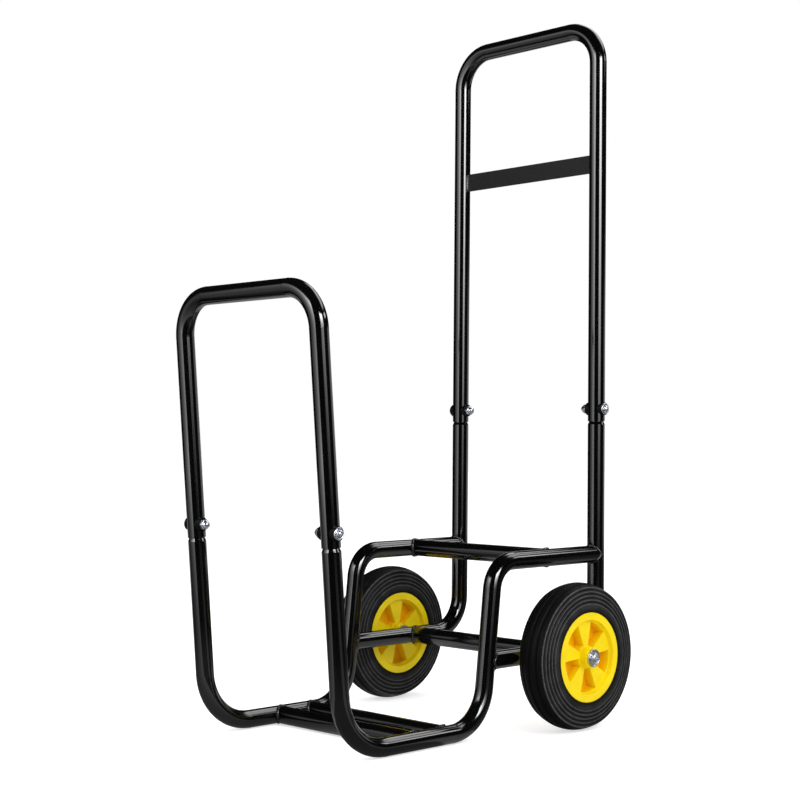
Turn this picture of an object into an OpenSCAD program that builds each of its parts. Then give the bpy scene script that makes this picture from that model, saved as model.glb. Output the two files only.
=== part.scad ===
// Fireside log cart: a bent-tube hand cart that stands on two base rails and two wheels.
// Frame: X is across the cart, -Y is its front, +Z is up; the origin is on the floor,
// under the middle of the cart's overall box. All sizes are millimetres.
// Left and right are as seen by someone who stands behind the handle: left is +X.

/* [Overall] */
// Depth of the cart, from the front loop to the back of the handle
cart_depth = 579; // [550:1:640]
// Height of the top of the handle
cart_height = 1031; // [950:1:1130]
// Height of the top of the front loop
loop_height = 611; // [560:1:690]
// Distance between the centre lines of the two side frames
frame_spacing = 277; // [250:1:330]

/* [Tube] */
// Outside diameter of every frame tube
tube_d = 25; // [22:0.5:28]
// Wall of every frame tube
tube_wall = 1.5; // [1:0.1:2]

/* [Leans] */
// Forward lean of the front loop and front legs, in degrees
front_lean = 4.3; // [2:0.1:7]
// Backward lean of the handle and rear uprights, in degrees
rear_lean = 0.7; // [0:0.1:3]
// Backward lean of the tubes that rise to the step, in degrees
rise_lean = 6.8; // [3:0.1:12]

/* [Bends] */
// Centre-line radius of the bend at the foot of each front leg
front_bend_r = 76.5; // [55:0.5:90]
// Centre-line radius of the bend from each base rail up to the step
rise_bend_r = 63; // [45:1:72]
// Centre-line radius of the bend onto the step
step_bend_r = 41; // [35:1:54]
// Centre-line radius of the bend at the foot of each rear upright
foot_bend_r = 54; // [40:1:68]
// Centre-line radius of the two corners of the front loop
loop_bend_r = 54; // [40:1:72]
// Centre-line radius of the two corners of the handle
handle_bend_r = 54; // [40:1:72]

/* [Step and base] */
// Where the centre line of the rising tubes would meet the base rails, along Y
rise_y = 20; // [9:1:36]
// Height of the top of the step rails
step_height = 249.5; // [230:0.5:272]
// Place of the front base cross tube, along Y
front_cross_y = -107; // [-135:1:-92]
// Place of the rear base cross tube, along Y
rear_cross_y = -50; // [-72:1:-49]
// Place of the step cross tube, along Y
step_cross_y = 162; // [125:1:205]

/* [Handle crosspiece] */
// Height of the middle of the flat crosspiece of the handle
crossbar_z = 814; // [765:1:865]
// Height of the flat crosspiece's face
crossbar_h = 27; // [18:1:35]
// Thickness of the flat crosspiece
crossbar_t = 3; // [2:0.5:5]

/* [Tube joints] */
// Height of the lower ends of the front loop's legs
front_joint_z = 272; // [254:1:298]
// Height of the lower ends of the handle's legs
rear_joint_z = 432; // [396:1:468]
// Height of each joint bolt above the end of its sleeve
bolt_rise = 18; // [15:1:22]
// Length of the swaged neck inside each sleeve
neck_len = 40; // [34:1:55]
// Length of the shoulder from the full tube down to the neck
shoulder_len = 4; // [3:0.5:6]
// Gap between the shoulder and the end of the sleeve
shoulder_gap = 1; // [0.5:0.1:1.5]
// Radial gap between a neck and its sleeve
neck_gap = 0.1; // [0.05:0.01:0.15]

/* [Joint fasteners] */
// Shank diameter of the joint bolts
bolt_d = 8; // [6:0.5:8]
// Head diameter of the joint bolts
bolt_head_d = 16.5; // [14:0.5:18]
// Head height of the joint bolts
bolt_head_h = 6; // [4:0.5:7]
// Width of the flange round the head of a joint bolt
bolt_flange_w = 2; // [1:0.5:2.5]
// Thickness of that flange
bolt_flange_t = 1.4; // [1:0.1:2]
// Clearance between a shank and its hole, on the diameter
bolt_hole_gap = 0.4; // [0.2:0.1:0.6]
// Diameter of the curved saddle washers
saddle_d = 19; // [18:0.5:22]
// Thickness of a saddle washer over the crown of the tube
saddle_t = 2.5; // [2:0.1:4]
// Distance across the flats of the cap nuts
nut_flats = 13; // [12:0.5:14]
// Height of the hexagon of the cap nuts
nut_h = 6.5; // [5:0.5:8]

/* [Wheels] */
// Diameter of the wheels
wheel_d = 205; // [190:1:220]
// Width of the tyre where it is widest, next to the hub
tyre_w = 50; // [45:1:54]
// Width of the tread between its two shoulders
tread_w = 39; // [34:1:42]
// How much lower the tread is at its shoulders than at its middle
tread_drop = 5; // [2:0.5:7]
// Diameter of the hub moulding where it meets the tyre
rim_d = 125; // [118:1:132]
// Place of the axle, along Y
axle_y = 162; // [150:1:180]
// Gap between the side frame and the inner face of the tyre
wheel_gap = 13; // [10:0.5:22]
// Number of spokes of the hub, with as many pockets between them
spoke_n = 5; // [4:1:7]
// Turn of the spokes from upright, in degrees
spoke_turn = 5; // [0:1:60]
// Width of the hub's flat outer ring
hub_ring_w = 10; // [8:0.5:12]
// How far the spokes lie below the flat ring
spoke_drop = 6; // [4:0.5:8]
// Depth of the pockets below the spokes
pocket_depth = 9; // [6:0.5:11]
// Length of the hub's boss, along the axle
boss_len = 58; // [54:1:63]
// Diameter of the hub's boss
boss_d = 29; // [27:1:33]
// Number of moulded ribs on each side wall of the tyre
side_rib_n = 4; // [3:1:6]
// Height of the side wall ribs
side_rib_h = 1.2; // [0.8:0.1:1.8]
// Number of grooves round the tread
tread_groove_n = 3; // [1:1:4]
// Depth of the tread grooves
tread_groove_h = 2.2; // [1:0.1:3]

/* [Axle] */
// Diameter of the axle rod
axle_d = 12; // [10:0.5:14]
// Radial running clearance between the axle rod and a bush
axle_run = 0.05; // [0.02:0.01:0.09]
// Clearance between the axle rod and the frame it passes through, on the diameter
axle_fit = 0.2; // [0.1:0.05:0.4]
// Wall of the bush in each hub
bush_wall = 2.5; // [2:0.1:3.5]
// Gap between turning and fixed faces along the axle
end_gap = 0.3; // [0.2:0.05:0.5]
// Diameter of the axle washers
washer_d = 25; // [22:0.5:27]
// Thickness of the axle washers
washer_t = 2; // [1.5:0.1:3]
// Wall of the spacer sleeves on the axle
spacer_wall = 3; // [2:0.5:4]
// Shank diameter of the axle end bolts
end_bolt_d = 6; // [5:0.5:6]
// Depth that the end bolts enter the axle
end_bolt_len = 18; // [12:1:25]
// Head diameter of the axle end bolts
end_head_d = 17; // [15:0.5:18]
// Head height of the axle end bolts
end_head_h = 5.5; // [4:0.5:6.5]

/* [Hidden] */

$fn = 64;
frame_black = "#161616";
zinc = "#c9ccd0";
hub_yellow = "#f4c813";
rubber_black = "#1d1d1e";

cope_gap = 0.05;      // gap left for the weld where one tube is coped to another
fit_gap = 0.02;       // radial gap of a part that is pressed on
past = 1;             // how far a cut runs past the face that it leaves
bend_mark_w = 1.2;    // width of the ring at each end of a bend
bend_mark_h = 0.15;   // how far that ring stands out

tube_r = tube_d / 2;
bore_d = tube_d - 2 * tube_wall;
neck_d = bore_d - 2 * neck_gap;
side_x = frame_spacing / 2;
rail_z = tube_r;
step_z = step_height - tube_r;
brace_z = wheel_d / 2;

// Where the leaning legs stand at height z, along Y
loop_top_z = loop_height - tube_r;
handle_top_z = cart_height - tube_r;
function front_leg_y(z) = -(cart_depth / 2 - tube_r) + (loop_top_z - z) * tan(front_lean);
function rear_leg_y(z) = cart_depth / 2 - tube_r - (handle_top_z - z) * tan(rear_lean);
function rise_tube_y(z) = rise_y + (z - rail_z) * tan(rise_lean);

// Each joint: [height of the sleeve's end, leg's lean towards +Y]
front_shoulder_z = front_joint_z - (shoulder_gap + shoulder_len) * cos(front_lean);
rear_shoulder_z = rear_joint_z - (shoulder_gap + shoulder_len) * cos(rear_lean);
front_bolt_z = front_joint_z + bolt_rise;
rear_bolt_z = rear_joint_z + bolt_rise;
joint_spots = [
    for (side = [-1, 1])
        for (spot = [[front_leg_y(front_bolt_z), front_bolt_z], [rear_leg_y(rear_bolt_z), rear_bolt_z]])
            [side, spot[0], spot[1]]
];

// Along the axle, from the middle of the cart outwards
wheel_x = side_x + tube_r + wheel_gap + tyre_w / 2;
boss_in_x = wheel_x - boss_len / 2;
boss_out_x = wheel_x + boss_len / 2;
frame_face_x = side_x + tube_r;
inner_washer_x = boss_in_x - end_gap - washer_t;
axle_end_x = boss_out_x + end_gap;

// Wheel sections, as [radius, distance from the wheel's middle]
wheel_r = wheel_d / 2;
rim_r = rim_d / 2;
rim_lip = 3;          // height of the rim's flanges over the seat of the tyre
rim_half_w = tyre_w / 2 - 1;
seat_half_w = rim_half_w - 6;
ring_in_r = rim_r - hub_ring_w;
ring_slope = 3;       // how far the ring's inner wall leans in, down to the spokes
boss_flare = 1;       // how much wider the boss is at the spokes than at its end
spoke_h = rim_half_w - spoke_drop;
pocket_h = spoke_h - pocket_depth;
boss_r = boss_d / 2;
bush_r = axle_d / 2 + axle_run + bush_wall;
spoke_angle = 180 / spoke_n;

// ---- Tube work ----

function heading(p, i) = (p[i + 1] - p[i]) / norm(p[i + 1] - p[i]);
function turn_at(p, i) =
    let (a = heading(p, i - 1), b = heading(p, i))
    atan2(a[0] * b[1] - a[1] * b[0], a[0] * b[0] + a[1] * b[1]);
function trim_at(p, radii, i) =
    i == 0 || i == len(p) - 1 ? 0 : radii[i - 1] * tan(abs(turn_at(p, i)) / 2);

// Moves what is drawn along +X to the start of the flat path p
module at_start(p) {
    dir = heading(p, 0);
    translate([p[0][0], p[0][1], 0])
        rotate([0, 0, atan2(dir[1], dir[0])])
            children();
}

// The fine ring that the bending die leaves where a straight meets a bend; both end inside it
module bend_mark(x, d) {
    translate([x - bend_mark_w / 2, 0, 0])
        rotate([0, 90, 0])
            cylinder(h = bend_mark_w, d = d + 2 * bend_mark_h);
}

// The straight i of a path, drawn along +X, with all the bends and straights that follow it
module bar_from(p, radii, d, i = 0) {
    run = norm(p[i + 1] - p[i]) - trim_at(p, radii, i) - trim_at(p, radii, i + 1);
    is_last = i == len(p) - 2;
    low = i == 0 ? 0 : bend_mark_w / 4;
    high = is_last ? run : run - bend_mark_w / 4;
    translate([low, 0, 0]) rotate([0, 90, 0]) cylinder(h = high - low, d = d);
    if (i > 0) bend_mark(0, d);
    if (!is_last) {
        turn = turn_at(p, i + 1);
        side = turn > 0 ? 1 : -1;
        r = radii[i];
        bend_mark(run, d);
        translate([run, side * r, 0]) {
            rotate([0, 0, turn > 0 ? -90 : 90 + turn])
                rotate_extrude(angle = abs(turn))
                    translate([r, 0])
                        circle(d = d);
            rotate([0, 0, turn])
                translate([0, -side * r, 0])
                    bar_from(p, radii, d, i + 1);
        }
    }
}

// A round bar of diameter d along the flat path p, with one bend radius for each inner corner
module bent_bar(p, radii, d) at_start(p) bar_from(p, radii, d);

// The path with its start and its end run on, for the bore of a tube
function run_on(p, at_first, at_last) = [
    for (i = [0 : len(p) - 1])
        i == 0 ? p[0] - heading(p, 0) * at_first
        : i == len(p) - 1 ? p[i] + heading(p, i - 1) * at_last
        : p[i]
];

module bent_tube(p, radii) {
    difference() {
        bent_bar(p, radii, tube_d);
        bent_bar(run_on(p, past, past), radii, bore_d);
    }
}

// A bent tube whose start is swaged down to a neck that slides into another tube
module necked_tube(p, radii) {
    difference() {
        union() {
            bent_bar(p, radii, tube_d);
            at_start(p) swaged_bar(tube_d, neck_d, 0);
        }
        bent_bar(run_on(p, 0, past), radii, bore_d);
        at_start(p) swaged_bar(bore_d, neck_d - 2 * tube_wall, past);
    }
}

module swaged_bar(full_d, small_d, extra) {
    rotate([0, -90, 0]) {
        cylinder(h = shoulder_len, d1 = full_d, d2 = small_d);
        translate([0, 0, shoulder_len]) cylinder(h = neck_len + extra, d = small_d);
    }
}

// Turns a shape drawn in (Y, Z) so that it stands in the plane of a side frame
module in_side_plane(x) translate([x, 0, 0]) rotate([90, 0, 90]) children();

module joint_holes() {
    for (spot = joint_spots)
        translate([spot[0] * side_x, spot[1], spot[2]])
            rotate([0, 90, 0])
                cylinder(h = tube_d + 2 * past, d = bolt_d + bolt_hole_gap, center = true);
}

side_frame_path = [
    [front_leg_y(front_shoulder_z), front_shoulder_z],
    [front_leg_y(rail_z), rail_z],
    [rise_y, rail_z],
    [rise_tube_y(step_z), step_z],
    [rear_leg_y(step_z), step_z]
];
upright_path = [
    [rear_leg_y(rear_shoulder_z), rear_shoulder_z],
    [rear_leg_y(brace_z), brace_z],
    [rise_tube_y(brace_z), brace_z]
];

// A solid bar along the straight from a to b in the side plane, wide enough to cope a tube to it
module cope_bar(a, b) bent_bar(run_on([a, b], past, past), [], tube_d + 2 * cope_gap);

module side_frame(side) {
    color(frame_black) difference() {
        in_side_plane(side * side_x) difference() {
            necked_tube(side_frame_path, [front_bend_r, rise_bend_r, step_bend_r]);
            cope_bar(upright_path[0], upright_path[1]);
        }
        joint_holes();
    }
}

module rear_upright(side) {
    color(frame_black) difference() {
        in_side_plane(side * side_x) difference() {
            necked_tube(upright_path, [foot_bend_r]);
            cope_bar(side_frame_path[2], side_frame_path[3]);
        }
        joint_holes();
        axle_hole();
    }
}

module left_side_frame() side_frame(1);
module right_side_frame() side_frame(-1);
module left_rear_upright() rear_upright(1);
module right_rear_upright() rear_upright(-1);

// An inverted U with its legs' ends at z = end_z and its top at z = top_z, leaning by lean
module upside_down_u(foot_y, end_z, top_z, lean, bend_r) {
    leg = top_z / cos(lean);
    low = end_z / cos(lean);
    translate([0, foot_y, 0])
        rotate([lean, 0, 0])
            rotate([90, 0, 0])
                bent_tube(
                    [[-side_x, low], [-side_x, leg], [side_x, leg], [side_x, low]],
                    [bend_r, bend_r]
                );
}

module front_loop() {
    color(frame_black) difference() {
        upside_down_u(front_leg_y(0), front_joint_z, loop_top_z, front_lean, loop_bend_r);
        joint_holes();
    }
}

module rear_handle() {
    color(frame_black) difference() {
        upside_down_u(rear_leg_y(0), rear_joint_z, handle_top_z, -rear_lean, handle_bend_r);
        joint_holes();
    }
}

// The flat bar between the handle's legs, coped to them
module handle_crossbar() {
    color(frame_black) difference() {
        translate([0, rear_leg_y(crossbar_z), crossbar_z])
            rotate([-rear_lean, 0, 0])
                cube([frame_spacing, crossbar_t, crossbar_h], center = true);
        for (side = [-1, 1])
            translate([side * side_x, rear_leg_y(crossbar_z), crossbar_z])
                rotate([-rear_lean, 0, 0])
                    cylinder(h = crossbar_h + 2 * past, d = tube_d + 2 * cope_gap, center = true);
    }
}

// A straight tube from one side frame to the other, coped to the bars that children() draws
module cross_tube(y, z) {
    color(frame_black) difference() {
        translate([0, y, z]) rotate([0, 90, 0]) difference() {
            cylinder(h = frame_spacing, d = tube_d, center = true);
            cylinder(h = frame_spacing + 2 * past, d = bore_d, center = true);
        }
        for (side = [-1, 1])
            in_side_plane(side * side_x)
                children();
    }
}

module front_cross_tube() cross_tube(front_cross_y, rail_z) cope_bar(side_frame_path[1], side_frame_path[2]);
module rear_cross_tube() cross_tube(rear_cross_y, rail_z) cope_bar(side_frame_path[1], side_frame_path[2]);
module step_cross_tube() cross_tube(step_cross_y, step_z) cope_bar(side_frame_path[3], side_frame_path[4]);
module axle_tube() cross_tube(axle_y, brace_z) cope_bar(upright_path[1], upright_path[2]);

// ---- Joint fasteners ----

// Points along +X from the outside of the right side frame, mirrored for the left one
module at_joints() {
    for (spot = joint_spots)
        translate([spot[0] * side_x, spot[1], spot[2]])
            rotate([0, spot[0] * 90, 0])
                children();
}

saddle_face = tube_r + saddle_t;

// Pan head as a profile turned about the bolt: flat below, a round edge, a low crown
module pan_head(d, h) {
    edge_r = h * 0.55;
    rotate_extrude() {
        square([d / 2 - edge_r, h]);
        square([d / 2, h - edge_r]);
        translate([d / 2 - edge_r, h - edge_r]) intersection() {
            circle(r = edge_r);
            square(edge_r);
        }
    }
}

// Cross recess of a screw head, cut down from the height top
module cross_recess(size, depth, top) {
    for (turn = [0, 90])
        translate([0, 0, top - depth / 2 + past / 2])
            rotate([0, 0, turn])
                cube([size, size / 4, depth + past], center = true);
}

module joint_bolts() {
    color(zinc) at_joints() difference() {
        union() {
            translate([0, 0, saddle_face]) pan_head(bolt_head_d - 2 * bolt_flange_w, bolt_head_h);
            translate([0, 0, saddle_face]) cylinder(h = bolt_flange_t, d = bolt_head_d);
            translate([0, 0, -saddle_face - nut_h])
                cylinder(h = 2 * saddle_face + nut_h, d = bolt_d);
        }
        cross_recess(bolt_head_d * 0.4, bolt_head_h * 0.5, saddle_face + bolt_head_h);
    }
}

// Round washers hollowed to sit on the tube, under each head and each nut
module saddle_washers() {
    color(frame_black) difference() {
        at_joints()
            for (way = [0, 180])
                rotate([way, 0, 0])
                    difference() {
                        translate([0, 0, tube_r * 0.55])
                            cylinder(h = saddle_face - tube_r * 0.55, d = saddle_d);
                        cylinder(h = saddle_face + past, d = bolt_d + bolt_hole_gap);
                    }
        for (side = [-1, 1]) in_side_plane(side * side_x) {
            cope_bar([front_leg_y(front_joint_z), front_joint_z], [front_leg_y(loop_top_z), loop_top_z]);
            cope_bar([rear_leg_y(rear_joint_z), rear_joint_z], [rear_leg_y(handle_top_z), handle_top_z]);
        }
    }
}

module cap_nuts() {
    corner_d = nut_flats / cos(30);
    dome_r = nut_flats * 0.44;
    thread_gap = 0.1;
    color(zinc) at_joints()
        translate([0, 0, -saddle_face])
            rotate([180, 0, 0])
                difference() {
                    union() {
                        cylinder(h = nut_h, d = corner_d, $fn = 6);
                        translate([0, 0, nut_h]) intersection() {
                            sphere(r = dome_r);
                            cylinder(h = dome_r, r = dome_r);
                        }
                    }
                    translate([0, 0, -past])
                        cylinder(h = nut_h + 2 * past, d = bolt_d + thread_gap);
                }
}

// ---- Axle ----

module axle_hole() {
    translate([0, axle_y, brace_z])
        rotate([0, 90, 0])
            cylinder(h = frame_spacing + 2 * tube_d, d = axle_d + axle_fit, center = true);
}

// Both ends of the axle: +Z points outwards from the middle of the cart
module at_axle_ends() {
    for (side = [-1, 1])
        translate([0, axle_y, brace_z])
            rotate([0, side * 90, 0])
                children();
}

module axle_rod() {
    color(zinc) difference() {
        translate([0, axle_y, brace_z])
            rotate([0, 90, 0])
                cylinder(h = 2 * axle_end_x, d = axle_d, center = true);
        at_axle_ends()
            translate([0, 0, axle_end_x - end_bolt_len - past])
                cylinder(h = end_bolt_len + 2 * past, d = end_bolt_d + 2 * fit_gap);
    }
}

// A ring on the axle, from the distance x outwards
module axle_ring(x, len, outer_d, inner_d) {
    at_axle_ends() translate([0, 0, x]) difference() {
        cylinder(h = len, d = outer_d);
        translate([0, 0, -past]) cylinder(h = len + 2 * past, d = inner_d);
    }
}

module axle_spacers() {
    color(frame_black)
        axle_ring(frame_face_x + cope_gap, inner_washer_x - frame_face_x - cope_gap,
                  axle_d + axle_fit + 2 * spacer_wall, axle_d + axle_fit);
}

module axle_inner_washers() {
    color(zinc) axle_ring(inner_washer_x, washer_t, washer_d, axle_d + axle_fit);
}

// Washer with a rolled rim that the end bolt clamps to the axle
module axle_cup_washers() {
    color(zinc) at_axle_ends()
        translate([0, 0, axle_end_x])
            rotate_extrude() {
                hole_r = (end_bolt_d + bolt_hole_gap) / 2;
                roll_x = washer_d / 2 - washer_t / 2;
                translate([hole_r, 0]) square([roll_x - hole_r, washer_t]);
                translate([roll_x - washer_t / 2, 0]) square([washer_t, washer_t]);
                translate([roll_x, washer_t]) circle(d = washer_t);
            }
}

module axle_end_bolts() {
    color(zinc) at_axle_ends() difference() {
        union() {
            translate([0, 0, axle_end_x + washer_t]) pan_head(end_head_d, end_head_h);
            translate([0, 0, axle_end_x - end_bolt_len])
                cylinder(h = end_bolt_len + washer_t, d = end_bolt_d);
        }
        cross_recess(end_head_d * 0.5, end_head_h * 0.5, axle_end_x + washer_t + end_head_h);
    }
}

// ---- Wheels ----

// Puts a wheel that is drawn about +Z in its place, with its outside towards +Z
module at_wheel(side) {
    translate([side * wheel_x, axle_y, brace_z])
        rotate([0, side * 90, 0])
            children();
}

// Half section of the hub, from its middle to its outer face
hub_half = [
    [bush_r + fit_gap, 0],
    [bush_r + fit_gap, boss_len / 2],
    [boss_r - 1, boss_len / 2],
    [boss_r, boss_len / 2 - 1],
    [boss_r + boss_flare, spoke_h],
    [ring_in_r - ring_slope, spoke_h],
    [ring_in_r, rim_half_w],
    [rim_r - 1, rim_half_w],
    [rim_r, rim_half_w - 1],
    [rim_r, seat_half_w + rim_lip / 2],
    [rim_r - rim_lip, seat_half_w],
    [rim_r - rim_lip, 0]
];

// Section of one pocket: its floor, and walls that lean out towards the open face
pocket_in_r = boss_r + boss_flare + 1;
pocket_out_r = ring_in_r - ring_slope - 0.6;
pocket_lean = 2;
pocket_section = [
    [pocket_in_r, spoke_h + past],
    [pocket_in_r + pocket_lean, pocket_h],
    [pocket_out_r - pocket_lean, pocket_h],
    [pocket_out_r, spoke_h + past]
];

// Both faces have the same pockets, back to back over a web
module wheel_hub() {
    color(hub_yellow) for (face = [0, 180]) rotate([face, 0, 0]) difference() {
        rotate_extrude() polygon(hub_half);
        for (i = [0 : spoke_n - 1])
            rotate([0, 0, (face == 0 ? 1 : -1) * (spoke_turn + i * 360 / spoke_n) - spoke_angle / 2])
                rotate_extrude(angle = spoke_angle)
                    polygon(pocket_section);
    }
}

module hub_bush() {
    color(zinc) difference() {
        cylinder(h = boss_len, r = bush_r, center = true);
        cylinder(h = boss_len + 2 * past, r = axle_d / 2 + axle_run, center = true);
    }
}

// Half section of the tyre, from the middle of its tread round to the middle of its seat
shoulder_w = 1.5;     // width and height of the round between tread and side wall
bead_w = 11;          // width of the smooth band of the side wall next to the hub
tread_half_w = tread_w / 2;
shoulder_r = wheel_r - tread_drop - shoulder_w;
groove_w = 3.2;       // width of a groove at the face of the tread
groove_floor_w = 2;   // width of a groove at its floor
side_rib_from = rim_r + bead_w;
side_rib_pitch = (shoulder_r - side_rib_from) / side_rib_n;
groove_pitch = 2 * tread_half_w / (tread_groove_n + 0.6);
outer_groove_x = (tread_groove_n - 1) / 2 * groove_pitch;
outer_land_x = (outer_groove_x + groove_w / 2 + tread_half_w) / 2;

function tread_radius(x) = wheel_r - tread_drop * pow(x / tread_half_w, 2);
function wall_x(r) =
    tyre_w / 2 - (tyre_w / 2 - tread_half_w - shoulder_w) * pow((r - rim_r) / (shoulder_r - rim_r), 2);

tread_points = [
    for (i = [0 : tread_groove_n - 1])
        let (x = i * groove_pitch - outer_groove_x, half = groove_w / 2, floor_half = groove_floor_w / 2)
        for (q = [[-half, 0], [-floor_half, 1], [floor_half, 1], [half, 0]])
            [tread_radius(x + q[0]) - q[1] * tread_groove_h, x + q[0]]
];
shoulder_points = [
    for (a = [90 : -10 : 0])
        [shoulder_r + (tread_radius(tread_half_w) - shoulder_r) * sin(a),
         tread_half_w + (wall_x(shoulder_r) - tread_half_w) * cos(a)]
];
wall_points = [
    for (i = [side_rib_n - 1 : -1 : 0])
        for (q = [[0.95, 0], [0.72, -1], [0.38, -1], [0.18, 0]])
            let (r = side_rib_from + (i + q[0]) * side_rib_pitch)
            [r, wall_x(r) + q[1] * side_rib_h]
];
bead_points = [
    [rim_r + 0.8, wall_x(rim_r)],
    [rim_r + fit_gap, wall_x(rim_r) - 0.8],
    [rim_r + fit_gap, seat_half_w + rim_lip / 2],
    [rim_r - rim_lip + fit_gap, seat_half_w - 2 * fit_gap]
];
right_wall = concat([[tread_radius(outer_land_x), outer_land_x]], shoulder_points, wall_points, bead_points);
tyre_section = concat(
    tread_points,
    right_wall,
    [for (i = [len(right_wall) - 1 : -1 : 0]) [right_wall[i][0], -right_wall[i][1]]]
);

module tyre() color(rubber_black) rotate_extrude($fn = 96) polygon(tyre_section);

module left_wheel_hub() at_wheel(1) wheel_hub();
module right_wheel_hub() at_wheel(-1) wheel_hub();
module left_hub_bush() at_wheel(1) hub_bush();
module right_hub_bush() at_wheel(-1) hub_bush();
module left_tyre() at_wheel(1) tyre();
module right_tyre() at_wheel(-1) tyre();

left_side_frame();
right_side_frame();
left_rear_upright();
right_rear_upright();
front_loop();
rear_handle();
handle_crossbar();
front_cross_tube();
rear_cross_tube();
step_cross_tube();
axle_tube();
joint_bolts();
saddle_washers();
cap_nuts();
axle_rod();
axle_spacers();
axle_inner_washers();
axle_cup_washers();
axle_end_bolts();
left_wheel_hub();
right_wheel_hub();
left_hub_bush();
right_hub_bush();
left_tyre();
right_tyre();
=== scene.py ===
"""Fireside log cart: the visual model, laid out as a Blender add-on and run as a script.

Every piece is worked out in metres in the cart's own frame: X across, -Y the front, +Z up.
"""
import math

import bpy
import numpy as np
from bpy.props import FloatProperty, FloatVectorProperty, IntProperty, PointerProperty
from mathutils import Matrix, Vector


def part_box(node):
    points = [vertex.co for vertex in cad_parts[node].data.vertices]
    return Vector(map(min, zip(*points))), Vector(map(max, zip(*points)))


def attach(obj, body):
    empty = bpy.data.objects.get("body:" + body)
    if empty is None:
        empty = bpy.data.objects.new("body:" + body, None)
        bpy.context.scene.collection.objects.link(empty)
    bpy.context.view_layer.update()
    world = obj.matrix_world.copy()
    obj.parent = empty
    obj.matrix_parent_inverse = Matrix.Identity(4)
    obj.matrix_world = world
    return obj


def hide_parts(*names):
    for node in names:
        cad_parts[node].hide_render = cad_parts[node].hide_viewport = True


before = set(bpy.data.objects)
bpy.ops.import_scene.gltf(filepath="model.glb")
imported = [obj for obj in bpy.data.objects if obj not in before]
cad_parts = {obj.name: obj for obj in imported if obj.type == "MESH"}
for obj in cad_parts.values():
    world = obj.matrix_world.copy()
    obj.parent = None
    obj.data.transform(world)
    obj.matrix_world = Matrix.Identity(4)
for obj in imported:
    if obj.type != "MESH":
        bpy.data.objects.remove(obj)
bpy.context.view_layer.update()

bl_info = {
    "name": "Fireside log cart",
    "version": (1, 0, 0),
    "blender": (4, 5, 0),
    "location": "3D View > Sidebar > Log cart",
    "description": "Coats, welds, wheels and fasteners of a bent-tube log cart, and a plain stage for it",
    "category": "Object",
}

MM = 0.001
CART = "cart"
SIDES = {"left": 1, "right": -1}

# The part's own nodes, by the finish that they carry
CROSS_TUBES = ("front_cross_tube", "rear_cross_tube", "step_cross_tube", "axle_tube")
COATED_NODES = (
    "left_side_frame", "right_side_frame", "left_rear_upright", "right_rear_upright",
    "front_loop", "rear_handle", *CROSS_TUBES,
)
ZINC_NODES = ("axle_rod", "axle_inner_washers")
MOULDED_NODES = ("saddle_washers", "axle_spacers")
BUSH_NODES = ("left_hub_bush", "right_hub_bush")


def middle(node):
    """The middle of a node's box at rest."""
    return np.mean(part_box(node), axis=0)


def half_size(node):
    """Half of a node's box, along each axis."""
    return np.ptp(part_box(node), axis=0) / 2


TUBE_R = half_size("axle_tube")[1]
SIDE_X = middle("left_rear_upright")[0]
WHEEL = middle("left_tyre")
WHEEL_R = half_size("left_tyre")[2]
TYRE_HALF_W = half_size("left_tyre")[0]
HUB_R = half_size("left_wheel_hub")[2]
BOSS_HALF = half_size("left_wheel_hub")[0]
CUP_FACE = BOSS_HALF + 0.3 * MM  # inner face of the cup washers, clear of the hub's boss
FIT = 0.02 * MM  # clearance of hub, bush and tyre on each other

# Outline of a tread groove and of the hollow between two ribs of the side wall: places over the
# groove's width and over the ribs' pitch, and the share of the full depth there
GROOVE_PROFILE = ((-0.5, 0), (-0.31, 1), (0.31, 1), (0.5, 0))
RIB_PROFILE = ((0.95, 0), (0.72, 1), (0.38, 1), (0.18, 0))


# -------------------- properties

def length(name, description, value):
    """A size in metres, from its value in millimetres."""
    return FloatProperty(name=name, description=description, default=value * MM, min=0, subtype="DISTANCE")


def turn(name, description, degrees):
    """An angle property, from its value in degrees."""
    return FloatProperty(name=name, description=description, default=math.radians(degrees), subtype="ANGLE")


def number(name, description, value, low, high):
    """A whole number from low to high."""
    return IntProperty(name=name, description=description, default=value, min=low, max=high)


def share(name, description, value):
    """A property from 0 to 1."""
    return FloatProperty(name=name, description=description, default=value, min=0, max=1, subtype="FACTOR")


def colour(name, description, *value):
    """A colour property."""
    return FloatVectorProperty(
        name=name, description=description, default=value, size=3, min=0, max=1, subtype="COLOR")


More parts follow.
